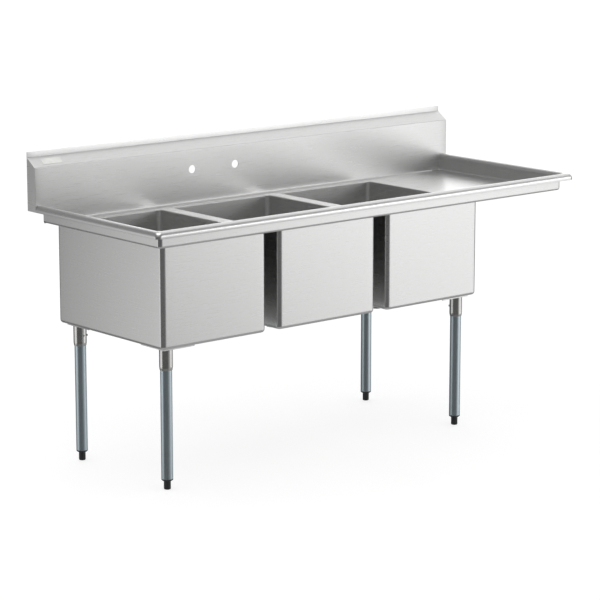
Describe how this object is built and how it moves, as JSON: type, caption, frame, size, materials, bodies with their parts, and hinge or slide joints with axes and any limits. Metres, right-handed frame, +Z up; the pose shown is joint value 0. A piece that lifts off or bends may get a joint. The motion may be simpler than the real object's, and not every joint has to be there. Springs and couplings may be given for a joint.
{
  "type": "three compartment sink",
  "caption": "Free-standing stainless restaurant sink: coved bowls in a rolled-rim deck with a right-hand drainboard, tall backsplash, tube legs, adjustable feet and lift-out strainers.",
  "frame": {"origin": "on the floor, under the middle of the sink's overall box", "axes": "+X along the sink to the viewer's right, towards the drainboard; +Y back to the wall; +Z up"},
  "size_m": [1.994, 0.756, 1.111],
  "materials": {
    "stainless_steel": "brushed stainless sheet, grain along the length",
    "polished_stainless": "bright turned stainless",
    "galvanised_steel": "smooth blue-grey zinc coating",
    "zinc_plated_steel": "zinc plated",
    "black_plastic": "moulded black plastic, fine matt grain",
    "black_rubber": "matt black rubber",
    "label_film": "blank white label film"
  },
  "bodies": {
    "sink_frame": {"deck_pan": "stainless_steel", "rim_rail_front": "stainless_steel", "rim_rail_left": "stainless_steel", "rim_rail_right": "stainless_steel", "backsplash": "stainless_steel", "splash_end_cap_left": "stainless_steel", "splash_end_cap_right": "stainless_steel", "blank_label": "label_film", "bowl_left": "stainless_steel", "drain_body_left": "polished_stainless", "drain_gasket_left": "black_rubber", "drain_locknut_left": "zinc_plated_steel", "bowl_centre": "stainless_steel", "drain_body_centre": "polished_stainless", "drain_gasket_centre": "black_rubber", "drain_locknut_centre": "zinc_plated_steel", "bowl_right": "stainless_steel", "drain_body_right": "polished_stainless", "drain_gasket_right": "black_rubber", "drain_locknut_right": "zinc_plated_steel", "gusset_front_left": "stainless_steel", "leg_socket_front_left": "polished_stainless", "set_screw_front_left": "zinc_plated_steel", "leg_tube_front_left": "galvanised_steel", "foot_insert_front_left": "black_plastic", "gusset_front_right": "stainless_steel", "leg_socket_front_right": "polished_stainless", "set_screw_front_right": "zinc_plated_steel", "leg_tube_front_right": "galvanised_steel", "foot_insert_front_right": "black_plastic", "gusset_rear_left": "stainless_steel", "leg_socket_rear_left": "polished_stainless", "set_screw_rear_left": "zinc_plated_steel", "leg_tube_rear_left": "galvanised_steel", "foot_insert_rear_left": "black_plastic", "gusset_rear_right": "stainless_steel", "leg_socket_rear_right": "polished_stainless", "set_screw_rear_right": "zinc_plated_steel", "leg_tube_rear_right": "galvanised_steel", "foot_insert_rear_right": "black_plastic"},
    "stud_front_left": {"foot_stud_front_left": "zinc_plated_steel"},
    "stud_front_right": {"foot_stud_front_right": "zinc_plated_steel"},
    "stud_rear_left": {"foot_stud_rear_left": "zinc_plated_steel"},
    "stud_rear_right": {"foot_stud_rear_right": "zinc_plated_steel"},
    "foot_front_left": {"bullet_foot_front_left": "black_plastic"},
    "foot_front_right": {"bullet_foot_front_right": "black_plastic"},
    "foot_rear_left": {"bullet_foot_rear_left": "black_plastic"},
    "foot_rear_right": {"bullet_foot_rear_right": "black_plastic"},
    "basket_left": {"strainer_basket_left": "polished_stainless", "basket_stopper_left": "black_rubber"},
    "basket_centre": {"strainer_basket_centre": "polished_stainless", "basket_stopper_centre": "black_rubber"},
    "basket_right": {"strainer_basket_right": "polished_stainless", "basket_stopper_right": "black_rubber"}
  },
  "joints": [
    {"name": "foot_travel_front_left", "type": "slide", "parent": "sink_frame", "child": "stud_front_left", "axis": [0, 0, -1], "range_m": [0, 0.025]},
    {"name": "foot_travel_front_right", "type": "slide", "parent": "sink_frame", "child": "stud_front_right", "axis": [0, 0, -1], "range_m": [0, 0.025]},
    {"name": "foot_travel_rear_left", "type": "slide", "parent": "sink_frame", "child": "stud_rear_left", "axis": [0, 0, -1], "range_m": [0, 0.025]},
    {"name": "foot_travel_rear_right", "type": "slide", "parent": "sink_frame", "child": "stud_rear_right", "axis": [0, 0, -1], "range_m": [0, 0.025]},
    {"name": "foot_turn_front_left", "type": "hinge", "parent": "stud_front_left", "child": "foot_front_left", "pos_m": [-0.88, -0.264, 0.0145], "axis": [0, 0, -1], "range_deg": [0, 4500]},
    {"name": "foot_turn_front_right", "type": "hinge", "parent": "stud_front_right", "child": "foot_front_right", "pos_m": [0.489, -0.264, 0.0145], "axis": [0, 0, -1], "range_deg": [0, 4500]},
    {"name": "foot_turn_rear_left", "type": "hinge", "parent": "stud_rear_left", "child": "foot_rear_left", "pos_m": [-0.88, 0.238, 0.0145], "axis": [0, 0, -1], "range_deg": [0, 4500]},
    {"name": "foot_turn_rear_right", "type": "hinge", "parent": "stud_rear_right", "child": "foot_rear_right", "pos_m": [0.489, 0.238, 0.0145], "axis": [0, 0, -1], "range_deg": [0, 4500]},
    {"name": "basket_lift_left", "type": "slide", "parent": "sink_frame", "child": "basket_left", "axis": [0, 0, 1], "range_m": [0, 0.08]},
    {"name": "basket_lift_centre", "type": "slide", "parent": "sink_frame", "child": "basket_centre", "axis": [0, 0, 1], "range_m": [0, 0.08]},
    {"name": "basket_lift_right", "type": "slide", "parent": "sink_frame", "child": "basket_right", "axis": [0, 0, 1], "range_m": [0, 0.08]}
  ],
  "couplings": [
    {"joint": "foot_turn_front_left", "follows": "foot_travel_front_left", "rad_per_m": 3141.6},
    {"joint": "foot_turn_front_right", "follows": "foot_travel_front_right", "rad_per_m": 3141.6},
    {"joint": "foot_turn_rear_left", "follows": "foot_travel_rear_left", "rad_per_m": 3141.6},
    {"joint": "foot_turn_rear_right", "follows": "foot_travel_rear_right", "rad_per_m": 3141.6}
  ]
}
